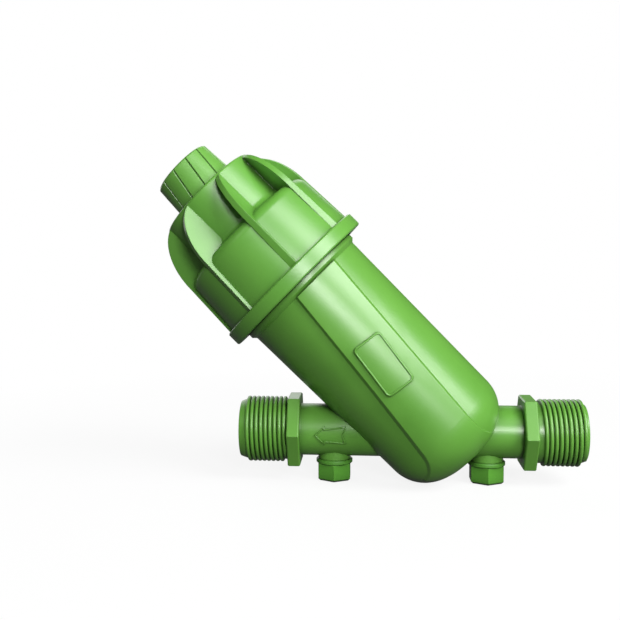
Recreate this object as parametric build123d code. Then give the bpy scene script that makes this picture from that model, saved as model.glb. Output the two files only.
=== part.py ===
from build123d import *
import os
from math import asin, cos, degrees, radians, sin, sqrt, tan

# Inline sediment filter: a Y body with a screw cap, a drain cap, two port plugs and a disc cartridge.
# X runs along the pipe and out of the inlet, Z is up, and -Y faces the side with the raised panel.
# The origin is the centre of the inlet's thread shoulder, on the outer face of its hex collar.
# What sits on the inclined barrel is drawn in the barrel's own frame. There Z runs out along the
# barrel's axis from the point where it crosses the pipe's axis, and is called height.
# Sizes are in millimetres.

# Pipe and its two threaded ends
pipe_radius = 13.15
pipe_bore_radius = 10.3
bore_overlap = 4.0
port_core_radius = 15.15
port_length = 24.3
port_tip_length = 3.0
port_tip_radius = 14.1
hex_flats = 34.3
hex_width = 6.3
hex_edge = 0.5
inlet_arm = 36.8
outlet_arm = 73.1

# Barrel and its dished bottom
barrel_tilt = 45.0
barrel_radius = 32.4
barrel_draft = 1.0
barrel_wall = 3.2
knuckle_radius = 20.0
knuckle_height = 4.4
crown_radius = 80.0
barrel_top = 100.4
collar_step = 1.75
collar_chamfer = 1.8
collar_top = 104.3
neck_step = 0.8
neck_bore_overlap = 5.0
neck_top = 130.0
neck_edge = 0.8

# Seat for the cartridge's bottom ring
seat_clearance = 0.4
seat_above_base = 9.0
seat_lead = 1.5
ledge_inner_radius = 21.5
ledge_thickness = 2.2

# Raised panel on the barrel's front, with a bare plate on it
panel_rise = 1.6
panel_slope = 25.0
panel_turn = 12.0
panel_base_depth = 14.0
panel_overrun = 26.0
panel_top_edge = (-17.3, 25.6)
panel_foot_edge = (-27.7, 14.8)
panel_above_barrel = 14.0
panel_below_barrel = 25.0
plate_rise = 0.6
plate_length = 28.5
plate_width = 15.6
plate_corner = 2.3
plate_turn = -8.0
plate_across = 4.7
plate_height = 49.5

# Plug bosses under the pipe
boss_radius = 8.2
boss_drop = 1.4
plug_shank_radius = 6.0
plug_clearance = 0.3
plug_flats = 16.0
plug_head_height = 8.75
plug_head_edge = 1.0
washer_radius = 9.2
washer_edge = 0.4
washer_thickness = 2.2
outlet_plug_reach = 56.2
inlet_plug_reach = 20.1

# Cap
cap_gap = 0.3
cap_ring_step = 2.85
cap_ring_height = 7.3
cap_ring_edge = 0.6
cap_bore_clearance = 2.0
cap_skirt_wall = 3.4
cap_skirt_taper = 1.65
cap_tier_foot_height = 39.6
cap_shoulder_fall = 1.6
cap_shoulder_round = 5.0
cap_tier_taper = 0.2
cap_well_clearance = 0.6
cap_tier_round = 3.0
cap_top_height = 65.4
cap_top_round = 1.2
cap_wall = 2.8
cap_throat_slope = 2.3
cap_stop_inner_radius = 16.0
cap_stop_wall = 3.0
cap_stop_height = 4.48

# Cap fins: plates that stand off the axis, as in a pinwheel
fin_count = 8
fin_step = 0.85
fin_offset = 16.9
fin_foot_thickness = 3.7
fin_top_thickness = 2.5
fin_taper = 1.35
fin_corner_width = 18.6
fin_corner_height = 28.6
fin_first_angle = 11.8
fin_inner_reach = 11.0
fin_top_drop = 0.3

# Cap seal
seal_thickness = 2.4
seal_clearance = 0.6
seal_width = 4.6

# Drain nipple, drain cap and its seal
nipple_radius = 11.4
nipple_bore_radius = 6.5
nipple_length = 12.5
drain_gap = 0.3
drain_foot_radius = 17.3
drain_end_radius = 16.2
drain_length = 18.2
drain_bore_clearance = 0.4
drain_grooves = 12
drain_groove_depth = 0.8
drain_groove_width = 0.9
drain_groove_overrun = 0.1
drain_twist = 10.6
drain_first_angle = 12.0
drain_end_edge = 0.8
drain_seal_thickness = 2.2
drain_seal_lip = 0.5
drain_seal_clearance = 0.3

# Cartridge
cartridge_bottom = -4.0
base_height = 12.5
base_radius = 24.6
base_bore_radius = 12.4
base_taper = 1.8
ring_groove_height = 3.6
ring_groove_start = 3.6
ring_section_radius = 1.55
ring_seat_gap = 0.15
ring_groove_gap = 0.15
spine_radius = 14.4
spine_rib_width = 2.6
spine_end_gap = 2.0
spine_rib_count = 6
spine_window_width = 7.0
spine_window_length = 34.0
spine_window_rows = 3
disc_count = 58
disc_step = 0.8
disc_groove_depth = 0.8
disc_bore_radius = 17.2
disc_bore_clearance = 0.3
nut_rim_height = 3.9
nut_height = 21.4
nut_core_step = 4.6
nut_rib_step = 0.2
nut_rib_width = 2.2
nut_rib_count = 12
nut_rib_chamfer = 3.0
nut_rib_drop = 0.8
nut_wall = 3.0
nut_thread_clearance = 0.5

# Places that follow from the sizes above
axis_x = -(hex_width + inlet_arm)
outlet_shoulder = axis_x - outlet_arm - hex_width
plug_places = {"outlet": axis_x - outlet_plug_reach, "inlet": axis_x + inlet_plug_reach}
barrel_slope = tan(radians(barrel_draft))
barrel_top_radius = barrel_radius + (barrel_top - knuckle_height) * barrel_slope
cavity_radius = barrel_radius - barrel_wall
collar_radius = barrel_top_radius + collar_step
neck_radius = barrel_top_radius + neck_step
neck_bore_radius = barrel_top_radius - barrel_wall
seat_radius = base_radius + seat_clearance
ledge_bottom = cartridge_bottom - ledge_thickness
seat_top = cartridge_bottom + seat_above_base
cap_bottom = collar_top + cap_gap
cap_bore_radius = neck_radius + cap_bore_clearance
cap_skirt_foot_radius = cap_bore_radius + cap_skirt_wall
cap_skirt_top_radius = cap_skirt_foot_radius - cap_skirt_taper
cap_ring_radius = cap_skirt_foot_radius + cap_ring_step
cap_well_radius = base_radius + cap_well_clearance
cap_tier_top_radius = cap_well_radius + cap_wall
cap_tier_foot_radius = cap_tier_top_radius + cap_tier_taper
fin_radius = cap_skirt_foot_radius + fin_step
cap_tier_foot = cap_bottom + cap_tier_foot_height
cap_top = cap_bottom + cap_top_height
cap_ceiling = cap_top - cap_wall
seal_top = neck_top + seal_thickness
seal_outer_radius = cap_bore_radius - seal_clearance
seal_inner_radius = seal_outer_radius - seal_width
nipple_top = cap_top + nipple_length
drain_bottom = cap_top + drain_gap
drain_top = drain_bottom + drain_length
drain_seal_top = nipple_top + drain_seal_thickness
drain_bore_radius = nipple_radius + drain_bore_clearance
ring_radius = seat_radius - ring_seat_gap - ring_section_radius
spine_rib_radius = disc_bore_radius - disc_bore_clearance
disc_radius = base_radius - disc_step
disc_bottom = cartridge_bottom + base_height
nut_top = cap_ceiling - cap_stop_height
disc_top = nut_top - nut_height
disc_pitch = (disc_top - disc_bottom) / disc_count
nut_ceiling = nut_top - nut_wall
nut_rib_radius = base_radius - nut_rib_step
nut_core_radius = base_radius - nut_core_step
boss_bottom = -(pipe_radius + boss_drop)
washer_bottom = boss_bottom - washer_thickness
plug_bore_radius = plug_shank_radius + plug_clearance

barrel_frame = Plane(
    origin=(axis_x, 0, 0),
    x_dir=(sin(radians(barrel_tilt)), 0, cos(radians(barrel_tilt))),
    z_dir=(-cos(radians(barrel_tilt)), 0, sin(radians(barrel_tilt))),
)


def on_barrel(shape):
    """Moves a shape drawn in the barrel's frame to its place in the part."""
    return barrel_frame.location * shape


def turned(edges):
    """Turns a closed outline of radius and height about the barrel axis."""
    return revolve(Plane.XZ * make_face(edges), Axis.Z)


def ring(outer, inner, bottom, top):
    """A plain ring between two heights."""
    return turned(Polyline((inner, bottom), (outer, bottom), (outer, top), (inner, top), close=True))


def rod(radius, bottom, top):
    """A plain round bar between two heights."""
    return Pos(0, 0, bottom) * extrude(Circle(radius), top - bottom)


def along_pipe(sketch, start, length):
    """A section drawn across the pipe, drawn out along it from a given place."""
    return extrude(Plane(origin=(start, 0, 0), x_dir=(0, 1, 0), z_dir=(1, 0, 0)) * sketch, length)


def dished_barrel(offset, top):
    """The barrel's outer form up to a height, grown or shrunk by an offset."""
    knuckle = knuckle_radius + offset
    crown = crown_radius + offset
    knuckle_centre = barrel_radius - knuckle_radius
    crown_centre = knuckle_height + sqrt((crown_radius - knuckle_radius) ** 2 - knuckle_centre**2)
    crown_angle = degrees(asin(knuckle_centre / (crown_radius - knuckle_radius)))
    crown_arc = CenterArc((0, crown_centre), crown, -90, crown_angle)
    knuckle_arc = CenterArc(
        (knuckle_centre, knuckle_height),
        knuckle,
        crown_angle - 90,
        90 - crown_angle - barrel_draft,
    )
    wall_foot = knuckle_arc @ 1
    wall_top = (wall_foot.X + (top - wall_foot.Y) * barrel_slope, top)
    walls = Polyline(wall_foot, wall_top, (0, top), crown_arc @ 0)
    return turned([crown_arc, knuckle_arc, walls])


def panel_prism():
    """The raised panel's outline, drawn out square to its own middle, with sloping sides."""
    top = barrel_top + panel_above_barrel
    foot = -panel_below_barrel
    left, right = panel_top_edge
    foot_left, foot_right = panel_foot_edge
    corners = Polyline((left, top), (foot_left, foot), (foot_right, foot), (right, top), close=True)
    outline = Plane.XZ.offset(panel_base_depth) * make_face(corners)
    return Rot(0, 0, panel_turn) * extrude(outline, panel_overrun, taper=panel_slope)


def plate_prism():
    """The bare plate's rounded outline, drawn towards the viewer."""
    outline = Pos(plate_across, plate_height) * Rot(0, 0, plate_turn)
    outline = outline * RectangleRounded(plate_width, plate_length, plate_corner)
    return extrude(Plane.XZ.offset(panel_base_depth) * outline, panel_overrun)


def raised_skin(rise):
    """The barrel's form lifted by a rise that fades out over the dished bottom."""
    return Pos(0, 0, rise) * dished_barrel(rise, barrel_top - rise)


def barrel_outside():
    """Barrel, collar and neck as one turned solid, with the panel and plate on its front."""
    collar_foot = collar_radius - collar_chamfer
    collar = turned(
        Polyline(
            (0, barrel_top),
            (collar_foot, barrel_top),
            (collar_radius, barrel_top + collar_chamfer),
            (collar_radius, collar_top),
            (neck_radius, collar_top),
            (neck_radius, neck_top - neck_edge),
            (neck_radius - neck_edge, neck_top),
            (0, neck_top),
            close=True,
        )
    )
    panel = raised_skin(panel_rise) & panel_prism()
    plate = raised_skin(panel_rise + plate_rise) & plate_prism()
    return dished_barrel(0, barrel_top) + collar + panel + plate


def barrel_inside():
    """The barrel's cavity: a tapered bore, with a seat and a ledge for the cartridge's base ring."""
    cavity = dished_barrel(-barrel_wall, barrel_top)
    cavity += rod(neck_bore_radius, barrel_top - neck_bore_overlap, neck_top)
    seat = turned(
        Polyline(
            (ledge_inner_radius, ledge_bottom),
            (barrel_radius, ledge_bottom),
            (barrel_radius, seat_top),
            (seat_radius + seat_lead, seat_top),
            (seat_radius, seat_top - seat_lead),
            (seat_radius, cartridge_bottom),
            (ledge_inner_radius, cartridge_bottom),
            close=True,
        )
    )
    return cavity - seat


def threaded_end(shoulder, way):
    """A port's thread core with its tapered tip. The way is 1 or -1, out along the pipe."""
    plain = port_length - port_tip_length
    outline = Polyline(
        (0, 0),
        (port_core_radius, 0),
        (port_core_radius, plain),
        (port_tip_radius, port_length),
        (0, port_length),
        close=True,
    )
    return Plane(origin=(shoulder, 0, 0), z_dir=(way, 0, 0)).location * turned(outline)


def hex_collar(start):
    """The spanner collar behind a threaded end, with its long edges softened."""
    collar = along_pipe(RegularPolygon(hex_flats / 2, 6, major_radius=False), start, hex_width)
    ends = collar.edges().group_by(Axis.X)
    return chamfer(ends[0] + ends[-1], hex_edge)


def make_housing():
    """The one-piece body: pipe, barrel, spanner collars, threaded ends and plug bosses."""
    inlet_collar = axis_x + inlet_arm
    outlet_collar = axis_x - outlet_arm
    pipe = along_pipe(Circle(pipe_radius), outlet_collar, inlet_collar - outlet_collar)
    body = on_barrel(barrel_outside()) + pipe
    body += hex_collar(outlet_shoulder) + hex_collar(inlet_collar)
    body += threaded_end(outlet_shoulder, -1) + threaded_end(0, 1)
    for place in plug_places.values():
        body += Pos(place, 0, 0) * rod(boss_radius, boss_bottom, 0)
    body -= on_barrel(barrel_inside())
    outlet_mouth = axis_x - cavity_radius / sin(radians(barrel_tilt)) + pipe_bore_radius + bore_overlap
    inlet_mouth = axis_x + pipe_bore_radius - bore_overlap
    outlet_end = outlet_shoulder - port_length
    body -= along_pipe(Circle(pipe_bore_radius), outlet_end, outlet_mouth - outlet_end)
    body -= along_pipe(Circle(pipe_bore_radius), inlet_mouth, port_length - inlet_mouth)
    for place in plug_places.values():
        body -= Pos(place, 0, 0) * rod(plug_bore_radius, boss_bottom, 0)
    return body


def make_plug(place):
    """A hex-headed port plug, its shank up in the boss as far as the pipe's bore."""
    hexagon = RegularPolygon(plug_flats / 2, 6, major_radius=False, rotation=30)
    head = extrude(hexagon, plug_head_height)
    head = chamfer(head.edges().group_by(Axis.Z)[0], plug_head_edge)
    head = Pos(0, 0, washer_bottom - plug_head_height) * head
    return Pos(place, 0, 0) * (head + rod(plug_shank_radius, washer_bottom, -pipe_bore_radius))


def make_washer(place):
    """The flat ring between a plug's head and its boss, with softened edges."""
    washer = ring(washer_radius, plug_bore_radius, washer_bottom, boss_bottom)
    rims = washer.edges().group_by(SortBy.LENGTH)[-1]
    return Pos(place, 0, 0) * chamfer(rims, washer_edge)


def cap_outside():
    """The cap's turned outside: ring, skirt, rounded shoulder, upper tier and drain nipple."""
    ring_top = cap_bottom + cap_ring_height
    skirt_top = (cap_skirt_top_radius, cap_tier_foot - cap_shoulder_fall, 0)
    tier_foot = (cap_tier_foot_radius, cap_tier_foot, 0)
    tier_top = (cap_tier_top_radius, cap_top, 0)
    face = make_face(
        Polyline(
            (0, cap_bottom),
            (cap_ring_radius - cap_ring_edge, cap_bottom),
            (cap_ring_radius, cap_bottom + cap_ring_edge),
            (cap_ring_radius, ring_top - cap_ring_edge),
            (cap_ring_radius - cap_ring_edge, ring_top),
            (cap_skirt_foot_radius, ring_top),
            skirt_top,
            tier_foot,
            tier_top,
            (0, cap_top),
            close=True,
        )
    )
    rounds = ((skirt_top, cap_shoulder_round), (tier_foot, cap_tier_round), (tier_top, cap_top_round))
    for corner, radius in rounds:
        face = fillet(face.vertices().sort_by_distance(corner)[0], radius)
    return revolve(Plane.XZ * face, Axis.Z) + rod(nipple_radius, cap_ceiling, nipple_top)


def cap_inside():
    """The cap's cavity: the bore over the neck, the space above it and the well in the tier."""
    throat_radius = seal_inner_radius
    well_foot = cap_tier_foot - cap_wall
    return turned(
        Polyline(
            (0, cap_bottom),
            (cap_bore_radius, cap_bottom),
            (cap_bore_radius, seal_top),
            (throat_radius, seal_top),
            (throat_radius, well_foot - cap_throat_slope),
            (cap_well_radius, well_foot),
            (cap_well_radius, cap_ceiling),
            (0, cap_ceiling),
            close=True,
        )
    )


def make_fin():
    """One fin: an upright plate with a tall rounded outer corner, thinner towards its top."""
    reach = sqrt(fin_radius**2 - fin_offset**2)
    foot = cap_bottom + cap_ring_height / 2
    top = cap_top - fin_top_drop
    corner_base = top - fin_corner_height
    corner_centre = (reach - fin_taper - fin_corner_width, corner_base)
    corner = EllipticalCenterArc(corner_centre, fin_corner_width, fin_corner_height, 0, arc_size=90)
    sides = Polyline(corner @ 1, (fin_inner_reach, top), (fin_inner_reach, foot), (reach, foot), corner @ 0)
    outline = [corner, sides]
    plate = extrude(Plane.YZ * make_face(outline), fin_foot_thickness, both=True)
    half_foot = fin_foot_thickness / 2
    half_top = fin_top_thickness / 2
    wedge = Polyline((-half_foot, foot), (half_foot, foot), (half_top, top), (-half_top, top), close=True)
    plate &= extrude(Plane.XZ * make_face(wedge), -fin_radius)
    foot_angle = 90 + degrees(asin(fin_offset / fin_radius))
    return Rot(0, 0, fin_first_angle - 90 - foot_angle) * Pos(-fin_offset, 0, 0) * plate


def make_cap():
    """The screw cap with its fins, drain nipple and the ring that holds the cartridge down."""
    body = cap_outside()
    fin = make_fin()
    for turn in range(fin_count):
        body += Rot(0, 0, turn * 360 / fin_count) * fin
    body -= cap_inside()
    stop_outer_radius = cap_stop_inner_radius + cap_stop_wall
    body += ring(stop_outer_radius, cap_stop_inner_radius, nut_top, cap_ceiling)
    body -= rod(nipple_bore_radius, cap_ceiling, nipple_top)
    return on_barrel(body)


def make_cap_seal():
    """The flat seal between the neck's mouth and the cap."""
    return on_barrel(ring(seal_outer_radius, seal_inner_radius, neck_top, seal_top))


def drain_groove(angle):
    """One skewed V groove, run out past both ends of the drain cap."""
    end_angle = angle + drain_twist
    foot = Vector(cos(radians(angle)), sin(radians(angle))) * drain_foot_radius
    end = Vector(cos(radians(end_angle)), sin(radians(end_angle))) * drain_end_radius
    foot += Vector(0, 0, drain_bottom)
    end += Vector(0, 0, drain_top)
    along = end - foot
    start = foot - along * drain_groove_overrun
    outward = start - Vector(0, 0, start.Z)
    across = Plane(origin=start, x_dir=outward.cross(along), z_dir=along)
    width, depth = drain_groove_width, drain_groove_depth
    outline = make_face(Polyline((-width, depth), (0, -depth), (width, depth), close=True))
    return extrude(across * outline, along.length * (1 + 2 * drain_groove_overrun))


def make_drain_cap():
    """The small cap on the drain nipple, with narrow grooves that run slightly skewed."""
    body = turned(
        Polyline(
            (0, drain_bottom),
            (drain_foot_radius, drain_bottom),
            (drain_end_radius, drain_top - drain_end_edge),
            (drain_end_radius - drain_end_edge, drain_top),
            (0, drain_top),
            close=True,
        )
    )
    for groove in range(drain_grooves):
        body -= drain_groove(drain_first_angle + groove * 360 / drain_grooves)
    body -= rod(drain_bore_radius, drain_bottom, drain_seal_top)
    return on_barrel(body)


def make_drain_seal():
    """The flat seal on top of the drain nipple."""
    outer = drain_bore_radius - drain_seal_clearance
    inner = nipple_bore_radius + drain_seal_lip
    return on_barrel(ring(outer, inner, nipple_top, drain_seal_top))


def make_carrier():
    """The cartridge's carrier: a grooved base ring and a ribbed, windowed spine in one moulding."""
    groove_bottom = cartridge_bottom + ring_groove_start
    groove_top = groove_bottom + ring_groove_height
    groove_floor_radius = ring_radius - ring_section_radius - ring_groove_gap
    spine_top = nut_ceiling - spine_end_gap
    body = turned(
        Polyline(
            (base_bore_radius, cartridge_bottom),
            (base_radius - base_taper, cartridge_bottom),
            (base_radius, cartridge_bottom + base_taper),
            (base_radius, groove_bottom),
            (groove_floor_radius, groove_bottom),
            (groove_floor_radius, groove_top),
            (base_radius, groove_top),
            (base_radius, disc_bottom),
            (spine_radius, disc_bottom),
            (spine_radius, spine_top),
            (base_bore_radius, spine_top),
            close=True,
        )
    )
    rib_root = (spine_radius + base_bore_radius) / 2
    rib_depth = spine_rib_radius - rib_root
    rib_section = Pos(rib_root + rib_depth / 2, 0) * Rectangle(rib_depth, spine_rib_width)
    rib = Pos(0, 0, disc_bottom) * extrude(rib_section, disc_top - disc_bottom)
    for turn in range(spine_rib_count):
        body += Rot(0, 0, turn * 360 / spine_rib_count) * rib
    row_pitch = (disc_top - disc_bottom) / spine_window_rows
    for turn in range(spine_rib_count // 2):
        for row in range(spine_window_rows):
            middle = disc_bottom + (row + 0.5) * row_pitch
            window = Pos(0, 0, middle) * Box(2 * disc_bore_radius, spine_window_width, spine_window_length)
            body -= Rot(0, 0, (turn + 0.5) * 360 / spine_rib_count) * window
    return on_barrel(body)


def make_discs():
    """The stack of ring discs, pressed together, with a groove between each two at the rim."""
    points = [(disc_bore_radius, disc_bottom)]
    for disc in range(disc_count):
        low = disc_bottom + disc * disc_pitch
        points.append((disc_radius - disc_groove_depth, low))
        points.append((disc_radius, low + disc_pitch / 2))
    points.append((disc_radius - disc_groove_depth, disc_top))
    points.append((disc_bore_radius, disc_top))
    return on_barrel(turned(Polyline(*points, close=True)))


def make_cartridge_ring():
    """The round-section ring in the carrier's base groove."""
    middle = cartridge_bottom + ring_groove_start + ring_groove_height / 2
    return on_barrel(Pos(0, 0, middle) * Torus(ring_radius, ring_section_radius))


def make_cartridge_nut():
    """The ribbed nut that presses the discs together on the spine."""
    rib_top = nut_top - nut_rib_drop
    body = rod(base_radius, disc_top, disc_top + nut_rim_height)
    body += rod(nut_core_radius, disc_top, nut_top)
    outline = Polyline(
        (0, disc_top),
        (nut_rib_radius, disc_top),
        (nut_rib_radius, rib_top - nut_rib_chamfer),
        (nut_rib_radius - nut_rib_chamfer, rib_top),
        (0, rib_top),
        close=True,
    )
    rib = extrude(Plane.XZ * make_face(outline), nut_rib_width / 2, both=True)
    for turn in range(nut_rib_count):
        body += Rot(0, 0, turn * 360 / nut_rib_count) * rib
    body -= rod(spine_radius + nut_thread_clearance, disc_top, nut_ceiling)
    return on_barrel(body)


parts = {
    "housing": make_housing(),
    "cap": make_cap(),
    "cap_seal": make_cap_seal(),
    "drain_cap": make_drain_cap(),
    "drain_seal": make_drain_seal(),
    "cartridge_carrier": make_carrier(),
    "filter_discs": make_discs(),
    "cartridge_ring": make_cartridge_ring(),
    "cartridge_nut": make_cartridge_nut(),
}
for side, place in plug_places.items():
    parts[side + "_plug"] = make_plug(place)
    parts[side + "_plug_washer"] = make_washer(place)

os.makedirs("parts", exist_ok=True)
for name, shape in parts.items():
    export_step(shape, "parts/" + name + ".step")
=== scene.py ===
# %% [markdown]
# # A green sediment water filter
# The real thing is a plastic filter for a farm water line. A pipe with a male thread at each end carries
# an inclined barrel. A finned screw cap closes the barrel, a small drain cap sits on top of it, and two
# hex plugs close the ports under the pipe. Inside stands a stack of thin red discs.
# The CAD model already has every solid at its real size, so this lesson adds what a photograph shows
# beyond it: screw threads, the raised flow arrow, the plate's rim, and how each plastic takes the light.

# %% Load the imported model
import math

import bpy
from mathutils import Matrix, Vector


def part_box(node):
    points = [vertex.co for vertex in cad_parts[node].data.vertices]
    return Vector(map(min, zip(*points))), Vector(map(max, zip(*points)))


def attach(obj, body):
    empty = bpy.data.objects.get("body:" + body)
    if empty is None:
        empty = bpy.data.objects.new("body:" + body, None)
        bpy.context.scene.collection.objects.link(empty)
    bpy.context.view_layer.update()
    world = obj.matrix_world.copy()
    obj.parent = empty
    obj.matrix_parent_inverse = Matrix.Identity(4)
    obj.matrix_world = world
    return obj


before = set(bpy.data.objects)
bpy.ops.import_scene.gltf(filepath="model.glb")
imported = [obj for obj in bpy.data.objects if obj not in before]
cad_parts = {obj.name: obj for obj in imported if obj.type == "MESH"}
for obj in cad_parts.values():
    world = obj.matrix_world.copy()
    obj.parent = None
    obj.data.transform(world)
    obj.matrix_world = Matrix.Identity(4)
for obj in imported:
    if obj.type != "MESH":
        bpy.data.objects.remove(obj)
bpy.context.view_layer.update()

MM = 0.001

# %% [markdown]
# ## Where things are
# Most of the detail is turned about one of three axes: the barrel's, or a pipe end's. Each gets a matrix
# that takes a point drawn about its own Z axis to its place on the part. That way a thread or a rim is
# drawn once, upright and simple, and the matrix puts it where it belongs.

# %% Local axes of the barrel and the pipe ends
def axes_at(origin, out, side):
    """A matrix whose Z points out and whose X points to one side."""
    z = Vector(out).normalized()
    x = Vector(side).normalized()
    y = z.cross(x)
    turn = Matrix((x, y, z)).transposed().to_4x4()
    return Matrix.Translation(Vector(origin)) @ turn


CROSSING_X = -43.1 * MM
OUTLET_SHOULDER_X = -122.5 * MM
BARREL = axes_at((CROSSING_X, 0, 0), (-1, 0, 1), (0, -1, 0))
INLET = axes_at((0, 0, 0), (1, 0, 0), (0, 0, 1))
OUTLET = axes_at((OUTLET_SHOULDER_X, 0, 0), (-1, 0, 0), (0, 0, 1))
lean = Vector((0, 0, 1)).angle(BARREL.to_3x3().col[2])
print("the barrel leans", round(math.degrees(lean)), "degrees")

# %% [markdown]
# ## Colour, and one helper for shader nodes
# Colours are easiest to read as the hex values of an image editor. Blender's shaders work in linear
# light, so one function converts them. A second small function adds a node, sets its values and links
# its inputs, which keeps each material readable as a list of steps.

# %% Colour and node helpers
def srgb(text):
    """A hex colour such as 62AE36 as linear red, green, blue and alpha."""
    parts = [int(text[i : i + 2], 16) / 255 for i in (0, 2, 4)]
    linear = [c / 12.92 if c <= 0.04045 else ((c + 0.055) / 1.055) ** 2.4 for c in parts]
    return (*linear, 1.0)


def add_node(tree, kind, settings=None, **inputs):
    """Adds a node. Settings are its own options, and each input is a value or another node's output.

    An input is named with _ for a space, or is i and its number where names repeat.
    """
    node = tree.nodes.new(kind)
    for key, value in (settings or {}).items():
        setattr(node, key, value)
    for key, value in inputs.items():
        numbered = key[0] == "i" and key[1:].isdigit()
        socket = node.inputs[int(key[1:]) if numbered else key.replace("_", " ")]
        if isinstance(value, bpy.types.NodeSocket):
            tree.links.new(value, socket)
        else:
            socket.default_value = value
    return node


def new_material(name):
    """An empty node material, its tree, and an object-space coordinate in metres."""
    material = bpy.data.materials.new(name)
    material.use_nodes = True
    tree = material.node_tree
    tree.nodes.clear()
    place = add_node(tree, "ShaderNodeTexCoord").outputs["Object"]
    return material, tree, place


print("leaf green in linear light:", [round(c, 3) for c in srgb("5FA836")[:3]])

# %% [markdown]
# ## Injection-moulded polypropylene
# The body, caps and plugs are green polypropylene, filled with a little glass fibre so that they hold
# pressure. It is moulded against a fine-sparked steel tool. That gives three things to the eye: a satin
# sheen rather than a mirror, a very fine grain, and slow waves a couple of centimetres long where thick
# walls shrank as they cooled. The real grain is about a tenth of a millimetre. It is drawn at half a
# millimetre, as coarse as it needs to be to show. The colour drifts a little with the flow of the melt.
# Polypropylene's index of refraction is about 1.49. The glass in it raises that a little, and the broad
# pale sheen on the real filter is matched by 1.6. A mould's edges are never knife sharp, so a Bevel node
# rounds the shading over about half a millimetre, and each rim catches a thin line of light. Corners that
# light hardly reaches get painted shade: an Ambient Occlusion node darkens their colour. One function
# makes the finish, because every green moulding has it, and takes a shade so that the small parts can
# differ.

# %% Sizes and strengths of the moulded finish
GRAIN = 0.5 * MM
GRAIN_STRENGTH = 0.5
SPECKLE = 1.4 * MM
FLECK = 0.015
ROUGHNESS_DRIFT = 0.015
SINK_WAVES = 22 * MM
SINK_DEPTH = 0.4 * MM
SINK_STRENGTH = 0.25
FLOW_MARKS = 45 * MM
EDGE_ROUND = 0.5 * MM
# Reach and darkest value of the painted shade in corners
PAINTED_SHADE_REACH = 6 * MM
DARKEST_PAINTED_SHADE = 0.22
FILLED_IOR = 1.6
# A noise's values mostly lie between these two, and openness to light is read between the next two
NOISE_LOW, NOISE_HIGH = 0.3, 0.7
HIDDEN, OPEN = 0.2, 0.9
SHADER_SAMPLES = 4
print("grain", round(GRAIN / MM, 2), "mm, sink waves", round(SINK_WAVES / MM), "mm")

# %% Moulded plastic
def moulded_plastic(name, light, dark, roughness, grain_depth):
    """Satin moulded plastic: two near shades, a fine tool grain, slow sink waves and painted shade in
    corners.
    """
    material, tree, place = new_material(name)
    flow = add_node(tree, "ShaderNodeTexNoise", Vector=place, Scale=1 / FLOW_MARKS, Detail=3.0)
    speckle = add_node(tree, "ShaderNodeTexNoise", Vector=place, Scale=1 / SPECKLE, Detail=2.0)
    waves = add_node(tree, "ShaderNodeTexNoise", Vector=place, Scale=1 / SINK_WAVES, Detail=1.0)
    grain = add_node(tree, "ShaderNodeTexNoise", Vector=place, Scale=1 / GRAIN, Detail=3.0)
    shade = add_node(
        tree, "ShaderNodeMapRange", Value=flow.outputs["Fac"], From_Min=NOISE_LOW, From_Max=NOISE_HIGH
    )
    colour = add_node(
        tree, "ShaderNodeMix", {"data_type": "RGBA"}, i0=shade.outputs["Result"],
        i6=srgb(dark), i7=srgb(light),
    )
    fleck = add_node(
        tree, "ShaderNodeMapRange", Value=speckle.outputs["Fac"], From_Min=0.25, From_Max=0.75,
        To_Min=1 - FLECK, To_Max=1 + FLECK,
    )
    flecked = add_node(
        tree, "ShaderNodeVectorMath", {"operation": "SCALE"}, i0=colour.outputs[2],
        Scale=fleck.outputs["Result"],
    )
    # Painted shade: ambient occlusion darkens the colour in corners and crevices where shade falls
    corner = add_node(
        tree, "ShaderNodeAmbientOcclusion", {"samples": SHADER_SAMPLES}, Distance=PAINTED_SHADE_REACH
    )
    painted_shade = add_node(
        tree, "ShaderNodeMapRange", Value=corner.outputs["AO"], From_Min=HIDDEN, From_Max=OPEN,
        To_Min=DARKEST_PAINTED_SHADE, To_Max=1.0,
    )
    shaded_colour = add_node(
        tree, "ShaderNodeVectorMath", {"operation": "SCALE"}, i0=flecked.outputs[0],
        Scale=painted_shade.outputs["Result"],
    )
    rough = add_node(
        tree, "ShaderNodeMapRange", Value=speckle.outputs["Fac"], From_Min=NOISE_LOW, From_Max=NOISE_HIGH,
        To_Min=roughness - ROUGHNESS_DRIFT, To_Max=roughness + ROUGHNESS_DRIFT,
    )
    rounded = add_node(tree, "ShaderNodeBevel", {"samples": SHADER_SAMPLES}, Radius=EDGE_ROUND)
    sink = add_node(
        tree, "ShaderNodeBump", Height=waves.outputs["Fac"], Strength=SINK_STRENGTH, Distance=SINK_DEPTH,
        Normal=rounded.outputs["Normal"],
    )
    bump = add_node(
        tree, "ShaderNodeBump", Height=grain.outputs["Fac"], Strength=GRAIN_STRENGTH, Distance=grain_depth,
        Normal=sink.outputs["Normal"],
    )
    shader = add_node(
        tree, "ShaderNodeBsdfPrincipled", Base_Color=shaded_colour.outputs[0], Roughness=rough.outputs["Result"],
        IOR=FILLED_IOR, Normal=bump.outputs["Normal"],
    )
    add_node(tree, "ShaderNodeOutputMaterial", Surface=shader.outputs[0])
    return material


# %% The green finishes
FINE = 0.02 * MM
MEDIUM = 0.03 * MM
COARSE = 0.05 * MM
body_plastic = moulded_plastic("polypropylene_moulded_body", "69A642", "5D9A38", 0.35, FINE)
cap_plastic = moulded_plastic("polypropylene_moulded_cap", "69A843", "5D9C39", 0.35, FINE)
# The drain cap's shades are paler than the body's: a painted sheen
drain_plastic_painted_sheen = moulded_plastic("polypropylene_moulded_drain_cap_painted_sheen", "6EAB49", "62A03F", 0.35, FINE)
plug_plastic = moulded_plastic("polypropylene_moulded_plug", "5EA338", "51942E", 0.34, FINE)
washer_plastic = moulded_plastic("polyethylene_pressed_washer", "5A9C36", "4B892B", 0.44, MEDIUM)
print("green finishes:", body_plastic.name, cap_plastic.name, plug_plastic.name)

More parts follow.
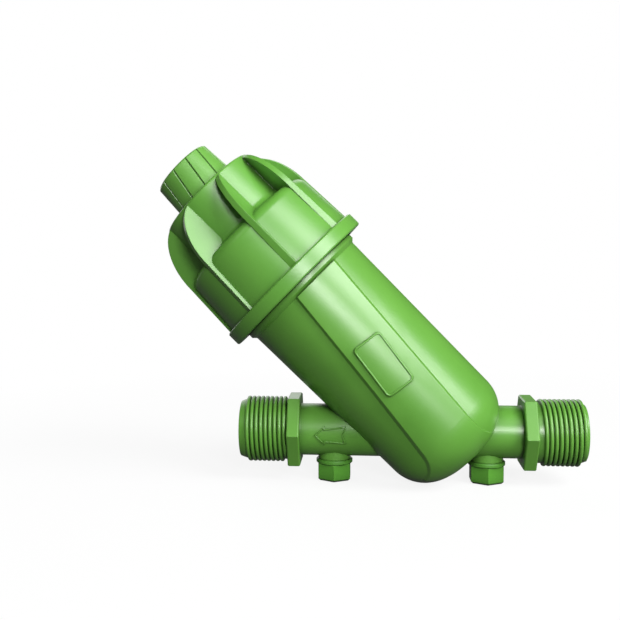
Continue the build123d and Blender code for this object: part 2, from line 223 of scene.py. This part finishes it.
# %% [markdown]
# ## The inner plastics and the rubber
# The cartridge's ends and spine are black nylon, a little glossier than the body. The discs are red
# polypropylene, each with hair-fine grooves pressed into its faces. At the rim those show as a matte
# texture, which is drawn as a coarser grain. The seals are nitrile rubber: dark, soft and nearly matte.

# %% Black nylon, red discs and seal rubber
black_nylon = moulded_plastic("nylon_moulded_black", "242528", "1B1C1F", 0.34, FINE)
disc_red = moulded_plastic("polypropylene_grooved_disc_red", "DC1C34", "C4142B", 0.45, COARSE)
seal_rubber = moulded_plastic("nitrile_rubber_moulded", "2A2A2B", "1E1E1F", 0.62, MEDIUM)

FINISH = {
    "housing": body_plastic,
    "cap": cap_plastic,
    "drain_cap": drain_plastic_painted_sheen,
    "inlet_plug": plug_plastic,
    "outlet_plug": plug_plastic,
    "inlet_plug_washer": washer_plastic,
    "outlet_plug_washer": washer_plastic,
    "cap_seal": seal_rubber,
    "drain_seal": seal_rubber,
    "cartridge_ring": seal_rubber,
    "cartridge_carrier": black_nylon,
    "cartridge_nut": black_nylon,
    "filter_discs": disc_red,
}
for node, material in FINISH.items():
    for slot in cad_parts[node].material_slots:
        slot.material = material
    print(node, "is", material.name)

# %% [markdown]
# ## Pieces that Blender adds
# The threads, the arrow and the rim are each worked out as points and the faces between them. Two small
# functions finish them all: one makes a smooth-shaded mesh, and one gives it a finish and a body to ride
# on, so that a cap's thread turns with the cap.

# %% Make a piece and dress it
def smooth_piece(name, verts, faces):
    """A smooth-shaded mesh object from points in metres and the faces between them."""
    mesh = bpy.data.meshes.new(name)
    mesh.from_pydata(verts, [], faces)
    mesh.polygons.foreach_set("use_smooth", [True] * len(mesh.polygons))
    mesh.update()
    piece = bpy.data.objects.new(name, mesh)
    bpy.context.collection.objects.link(piece)
    return piece


def dress(piece, body, material):
    """Gives a piece its body and its material."""
    piece.data.materials.append(material)
    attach(piece, body)
    print(piece.name, "rides on", body, "with", len(piece.data.polygons), "faces")


# %% [markdown]
# ## Screw threads
# A thread is one ridge that winds round a core. It could be faked with bump, but its crests stand out
# on the outline, so it is real geometry here. The ridge's cross-section is placed again and again round
# the axis, a little further out each time, and neighbours are joined by faces. Over its first and last
# part of a turn the ridge sinks into the core, as a cut thread runs out. Each end carries a one inch
# pipe thread, 33.25 mm across its crests with 2.309 mm from crest to crest.

# %% Build a helical ridge
PER_TURN = 96
RUN_OUT_TURNS = 0.35
SUNK_FOOT = 0.35
SHOULDER_RISE = 0.84
SHOULDER_SHARE = 0.75
TOP_SHARE = 0.3
print("a thread has", PER_TURN, "sections in each turn")


def thread_ridge(name, place, root, crest, foot, tip, pitch, turns, start, first_angle=0):
    """A right-handed ridge from root to crest radius. Foot and tip are its widths there, all in mm.

    A crest inside the root gives the ridge of a female thread.
    """
    steps = round(turns * PER_TURN)
    fade = RUN_OUT_TURNS * PER_TURN
    male = crest > root
    inner = root - SUNK_FOOT if male else root + SUNK_FOOT
    verts, faces = [], []
    for i in range(steps + 1):
        share = max(0.0, min(1.0, i / fade, (steps - i) / fade))
        rise = (crest - root) * math.sin(share * math.pi / 2)
        shoulder = root + rise * SHOULDER_RISE
        section = (
            (-foot / 2, inner),
            (-foot / 2, root),
            (-tip * SHOULDER_SHARE, shoulder),
            (-tip * TOP_SHARE, root + rise),
            (tip * TOP_SHARE, root + rise),
            (tip * SHOULDER_SHARE, shoulder),
            (foot / 2, root),
            (foot / 2, inner),
        )
        angle = math.radians(first_angle) + 2 * math.pi * i / PER_TURN
        middle = start + pitch * i / PER_TURN
        for along, radius in section:
            point = Vector((radius * math.cos(angle), radius * math.sin(angle), middle + along)) * MM
            verts.append(place @ point)
    ring = len(section)
    for i in range(steps):
        for k in range(ring):
            a, b = i * ring + k, i * ring + (k + 1) % ring
            quad = (a, b, b + ring, a + ring)
            faces.append(quad if male else quad[::-1])
    first = tuple(range(ring))
    last = tuple(steps * ring + k for k in range(ring))
    faces.append(first[::-1] if male else first)
    faces.append(last if male else last[::-1])
    return smooth_piece(name, verts, faces)


# %% The two pipe threads
PIPE_PITCH = 2.309
PIPE_CREST = 33.249 / 2
PIPE_ROOT = 15.15
PIPE_TURNS = 8.9
for name, place, start in (("inlet_pipe_thread", INLET, 2.1), ("outlet_pipe_thread", OUTLET, 0.75)):
    thread = thread_ridge(
        name, place, PIPE_ROOT, PIPE_CREST, foot=2.25, tip=0.95, pitch=PIPE_PITCH, turns=PIPE_TURNS,
        start=start, first_angle=180,
    )
    dress(thread, "body", body_plastic)

# %% [markdown]
# ## Threads under the caps
# These show only when the filter is opened. The neck has a coarse rounded thread so that the cap can be
# spun off in a few turns even when it is gritty, and the drain nipple has a finer one. The matching
# ridge inside the cap lies half a pitch along from the neck's, so the two pass between each other as the
# cap turns. The drain cap's own ridge could hardly be seen, so it is left out.

# %% Threads of the neck, the cap and the nipple
NECK_PITCH = 6.0
NIPPLE_PITCH = 3.0
neck_thread = thread_ridge(
    "neck_thread", BARREL, root=34.9, crest=36.1, foot=2.6, tip=1.1, pitch=NECK_PITCH, turns=2.4,
    start=112.0,
)
dress(neck_thread, "body", body_plastic)
cap_thread = thread_ridge(
    "cap_thread", BARREL, root=36.9, crest=35.7, foot=2.6, tip=1.1, pitch=NECK_PITCH, turns=2.0,
    start=112.2 + NECK_PITCH / 2,
)
dress(cap_thread, "cap", cap_plastic)
nipple_thread = thread_ridge(
    "nipple_thread", BARREL, root=11.4, crest=11.65, foot=1.4, tip=0.5, pitch=NIPPLE_PITCH, turns=3.0,
    start=172.0,
)
dress(nipple_thread, "cap", cap_plastic)

# %% [markdown]
# ## Raised lines: the flow arrow and the plate's rim
# Both are thin lines that stand a fraction of a millimetre off a curved wall. Each is a closed strip:
# its points are walked along the wall, and at each one a small raised section is set square to the
# path. The arrow lies on the pipe between the outlet's collar and the barrel, and points to the outlet.
# The rim runs round the bare plate on the barrel's front.

# %% Build a raised line on a curved wall
WALK_STEP = 1.0
NARROWEST_CORNER = 0.5
# The bead's section: half widths across the line, and heights off the wall, each as a share
BEAD_SECTION = ((-1.3, -0.6), (-1.0, 0.35), (-0.45, 1.0), (0.45, 1.0), (1.0, 0.35), (1.3, -0.6))
print("a raised line has a point at least every", WALK_STEP, "mm")


def raised_line(name, points, normals, width, height):
    """A low rounded bead round a closed path on a wall, in metres. Its foot sinks into the wall."""
    count = len(points)
    verts, faces = [], []
    for i, (point, normal) in enumerate(zip(points, normals)):
        to_here = (point - points[i - 1]).normalized()
        to_next = (points[(i + 1) % count] - point).normalized()
        along = (to_here + to_next).normalized()
        corner = max(NARROWEST_CORNER, along.dot(to_next))
        side = normal.cross(along).normalized() * (width / 2 / corner)
        for across, up in BEAD_SECTION:
            verts.append(point + side * across + normal * (height * up))
    ring = len(BEAD_SECTION)
    for i in range(count):
        j = (i + 1) % count
        for k in range(ring):
            m = (k + 1) % ring
            faces.append((i * ring + k, j * ring + k, j * ring + m, i * ring + m))
    return smooth_piece(name, verts, faces)


def walk(corners):
    """Points round the straight runs between corners, no further apart than the step."""
    path = []
    for (u, v), (u2, v2) in zip(corners, corners[1:] + corners[:1]):
        pieces = max(1, math.ceil(math.hypot(u2 - u, v2 - v) / WALK_STEP))
        path += [(u + (u2 - u) * k / pieces, v + (v2 - v) * k / pieces) for k in range(pieces)]
    return path


# %% The flow arrow on the outlet pipe
PIPE_RADIUS = 13.15
ARROW_WIDTH, ARROW_HEIGHT = 0.7 * MM, 0.6 * MM
# Corners as millimetres along the pipe from the barrel's axis, and up round its wall
arrow = [
    (-65.3, -0.5), (-60.9, 3.6), (-60.9, 2.3), (-50.3, 3.6), (-51.7, -0.4), (-50.3, -4.4), (-60.9, -3.7),
    (-60.9, -4.9),
]
points, normals = [], []
for x, arc in walk(arrow):
    angle = arc / PIPE_RADIUS
    normal = Vector((0, -math.cos(angle), math.sin(angle)))
    points.append(Vector((CROSSING_X + x * MM, 0, 0)) + normal * PIPE_RADIUS * MM)
    normals.append(normal)
flow_arrow = raised_line("flow_arrow", points, normals, ARROW_WIDTH, ARROW_HEIGHT)
dress(flow_arrow, "body", body_plastic)

# %% The rim of the bare plate
PLATE_LENGTH, PLATE_WIDTH, PLATE_CORNER = 28.5, 15.6, 2.3
PLATE_TURN, PLATE_ACROSS, PLATE_UP = -8.0, 4.7, 49.5
BARREL_RADIUS, WALL_FOOT, BARREL_SLOPE = 32.4, 3.5, math.tan(math.radians(1))
PLATE_RISE = 2.2
RIM_INSET = 0.6
RIM_WIDTH, RIM_HEIGHT = 0.95 * MM, 0.4 * MM
CORNER_STEPS = 6


def plate_outline(inset):
    """The rounded rectangle of the plate, inset in mm, as points across and up the barrel."""
    half_w, half_l = PLATE_WIDTH / 2 - inset, PLATE_LENGTH / 2 - inset
    corner = PLATE_CORNER - inset / 2
    turn = math.radians(PLATE_TURN)
    outline = []
    for quarter, (sx, sy) in enumerate(((1, 1), (-1, 1), (-1, -1), (1, -1))):
        for k in range(CORNER_STEPS + 1):
            angle = math.radians(90 * (quarter + k / CORNER_STEPS))
            x = sx * (half_w - corner) + corner * math.cos(angle)
            y = sy * (half_l - corner) + corner * math.sin(angle)
            across = x * math.cos(turn) - y * math.sin(turn)
            up = x * math.sin(turn) + y * math.cos(turn)
            outline.append((PLATE_ACROSS + across, PLATE_UP + up))
    return outline


points, normals = [], []
for across, height in walk(plate_outline(RIM_INSET)):
    radius = BARREL_RADIUS + PLATE_RISE + (height - PLATE_RISE - WALL_FOOT) * BARREL_SLOPE
    angle = math.asin(across / radius)
    normal = BARREL.to_3x3() @ Vector((math.cos(angle), math.sin(angle), 0))
    points.append(BARREL @ (Vector((radius * math.cos(angle), radius * math.sin(angle), height)) * MM))
    normals.append(normal)
plate_rim = raised_line("plate_rim", points, normals, RIM_WIDTH, RIM_HEIGHT)
dress(plate_rim, "body", body_plastic)

# %% [markdown]
# ## The studio
# A product photograph of this kind stands on white, lit by large soft boxes. A white surface seen by the
# camera would also throw white light up under the filter, which the photograph doesn't show. So the
# floor shows white to the camera through Light Path, and is a dark grey for the light that bounces off
# it. Reflections see only a small share of the white, since nothing here is metal or glass. Near the
# filter the floor keeps a little of its shadow.

# %% The floor
FLOOR_SIZE = 8
FLOOR_BOUNCE = "2B2C27"
FLOOR_SHADED = "F4F4F4"
MIRRORED_SHARE = 0.12
# How much of the white shows near the filter, where the rest is shaded, and where all of it shows
NEAR_SHOW = 0.86
NEAR, FAR = 0.05, 0.42
WHITE = (1, 1, 1, 1)


def studio_floor(name):
    """White to the camera with some of its shading near the filter, and dark to light that bounces."""
    material, tree, place = new_material(name)
    rays = add_node(tree, "ShaderNodeLightPath")
    mirrored = add_node(
        tree, "ShaderNodeMath", {"operation": "MULTIPLY"}, i0=rays.outputs["Is Glossy Ray"],
        i1=MIRRORED_SHARE,
    )
    seen = add_node(
        tree, "ShaderNodeMath", {"operation": "MAXIMUM"}, i0=rays.outputs["Is Camera Ray"],
        i1=mirrored.outputs[0],
    )
    grey = add_node(tree, "ShaderNodeBsdfDiffuse", Color=srgb(FLOOR_BOUNCE))
    white = add_node(tree, "ShaderNodeEmission", Color=WHITE, Strength=1.0)
    bright = add_node(tree, "ShaderNodeBsdfDiffuse", Color=srgb(FLOOR_SHADED))
    away = add_node(tree, "ShaderNodeVectorMath", {"operation": "LENGTH"}, i0=place)
    show = add_node(
        tree, "ShaderNodeMapRange", Value=away.outputs["Value"], From_Min=NEAR, From_Max=FAR,
        To_Min=NEAR_SHOW, To_Max=1.0,
    )
    blend = add_node(
        tree, "ShaderNodeMixShader", Fac=show.outputs["Result"], i1=bright.outputs[0],
        i2=white.outputs[0],
    )
    surface = add_node(
        tree, "ShaderNodeMixShader", Fac=seen.outputs[0], i1=grey.outputs[0], i2=blend.outputs[0]
    )
    add_node(tree, "ShaderNodeOutputMaterial", Surface=surface.outputs[0])
    return material


lowest = min(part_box(node)[0][2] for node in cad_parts)
bpy.ops.mesh.primitive_plane_add(size=FLOOR_SIZE, location=(CROSSING_X, 0, lowest))
floor = bpy.context.object
floor.name = "floor"
floor.data.materials.append(studio_floor("white_studio_paper"))
print("floor at", round(lowest / MM, 1), "mm")

# %% The world
WORLD_FILL = 0.035
world = bpy.data.worlds.new("studio")
bpy.context.scene.world = world
world.use_nodes = True
tree = world.node_tree
tree.nodes.clear()
rays = add_node(tree, "ShaderNodeLightPath")
seen = add_node(
    tree, "ShaderNodeMath", {"operation": "MAXIMUM"}, i0=rays.outputs["Is Camera Ray"],
    i1=rays.outputs["Is Transmission Ray"],
)
fill = add_node(tree, "ShaderNodeBackground", Color=WHITE, Strength=WORLD_FILL)
white = add_node(tree, "ShaderNodeBackground", Color=WHITE, Strength=1.0)
both = add_node(tree, "ShaderNodeMixShader", Fac=seen.outputs[0], i1=fill.outputs[0], i2=white.outputs[0])
add_node(tree, "ShaderNodeOutputWorld", Surface=both.outputs[0])
print("world fill", WORLD_FILL)

# %% [markdown]
# ## Light
# The photograph's bright side is the upper right, with a long soft highlight down the middle of the
# raised panel and a dark lower left. So a big soft box stands high on the right, a narrow one stands by
# the camera for the highlight, and a weak one lifts the cap from the left. A wide one stands behind, so
# that the back can be read too.

# %% Soft boxes
LIGHT_AIM = (-0.09, 0, 0.05)


def soft_box(name, place, width, height, watts):
    """A rectangular area lamp that faces the filter."""
    lamp = bpy.data.lights.new(name, "AREA")
    lamp.shape = "RECTANGLE"
    lamp.size, lamp.size_y, lamp.energy = width, height, watts
    box = bpy.data.objects.new(name, lamp)
    bpy.context.collection.objects.link(box)
    box.location = place
    box.rotation_euler = (Vector(LIGHT_AIM) - Vector(place)).to_track_quat("-Z", "Y").to_euler()


soft_box("key_box_upper_right", (0.85, -0.65, 0.95), width=0.8, height=0.8, watts=24)
soft_box("front_box", (0.28, -1.26, 0.46), width=0.36, height=0.36, watts=12)
soft_box("cap_box_left", (-0.75, -0.8, 0.75), width=0.5, height=0.5, watts=1.2)
soft_box("back_box", (-0.6, 1.25, 0.55), width=1.6, height=1.2, watts=10)
print("four soft boxes round", LIGHT_AIM)

# %% [markdown]
# ## Camera
# The camera stands where the photograph was taken: about half a metre away, slightly above the pipe and
# turned a little to the left. Its distance and angle came from the spacing of the thread crests, the
# hex collars' corners and the cap ring's width, which together fix the perspective. The filter stands
# right of the picture's middle, so the lens is shifted sideways a little instead of being turned.

# %% Place the camera
PICTURE_PIXELS = 620
FOCAL_PIXELS = 936.4
SHIFT_PIXELS = 40
SENSOR_WIDTH = 36
YAW, PITCH, ROLL = -6.37, 4.66, -0.44
CAMERA_PLACE = (-79.2 * MM, -472.5 * MM, 99.8 * MM)
yaw, pitch, roll = math.radians(YAW), math.radians(PITCH), math.radians(ROLL)
look = Vector((math.sin(yaw) * math.cos(pitch), math.cos(yaw) * math.cos(pitch), -math.sin(pitch)))
level = Vector((math.cos(yaw), -math.sin(yaw), 0))
upright = level.cross(look)
right = level * math.cos(roll) + upright * math.sin(roll)
up = upright * math.cos(roll) - level * math.sin(roll)
camera_data = bpy.data.cameras.new("camera")
camera_data.sensor_width = SENSOR_WIDTH
camera_data.lens = SENSOR_WIDTH * FOCAL_PIXELS / PICTURE_PIXELS
camera_data.shift_x = SHIFT_PIXELS / PICTURE_PIXELS
camera = bpy.data.objects.new("camera", camera_data)
bpy.context.collection.objects.link(camera)
turn = Matrix((right, up, -look)).transposed().to_4x4()
camera.matrix_world = Matrix.Translation(CAMERA_PLACE) @ turn
scene = bpy.context.scene
scene.camera = camera
scene.view_settings.view_transform = "Standard"
print("lens", round(camera_data.lens, 1), "mm")
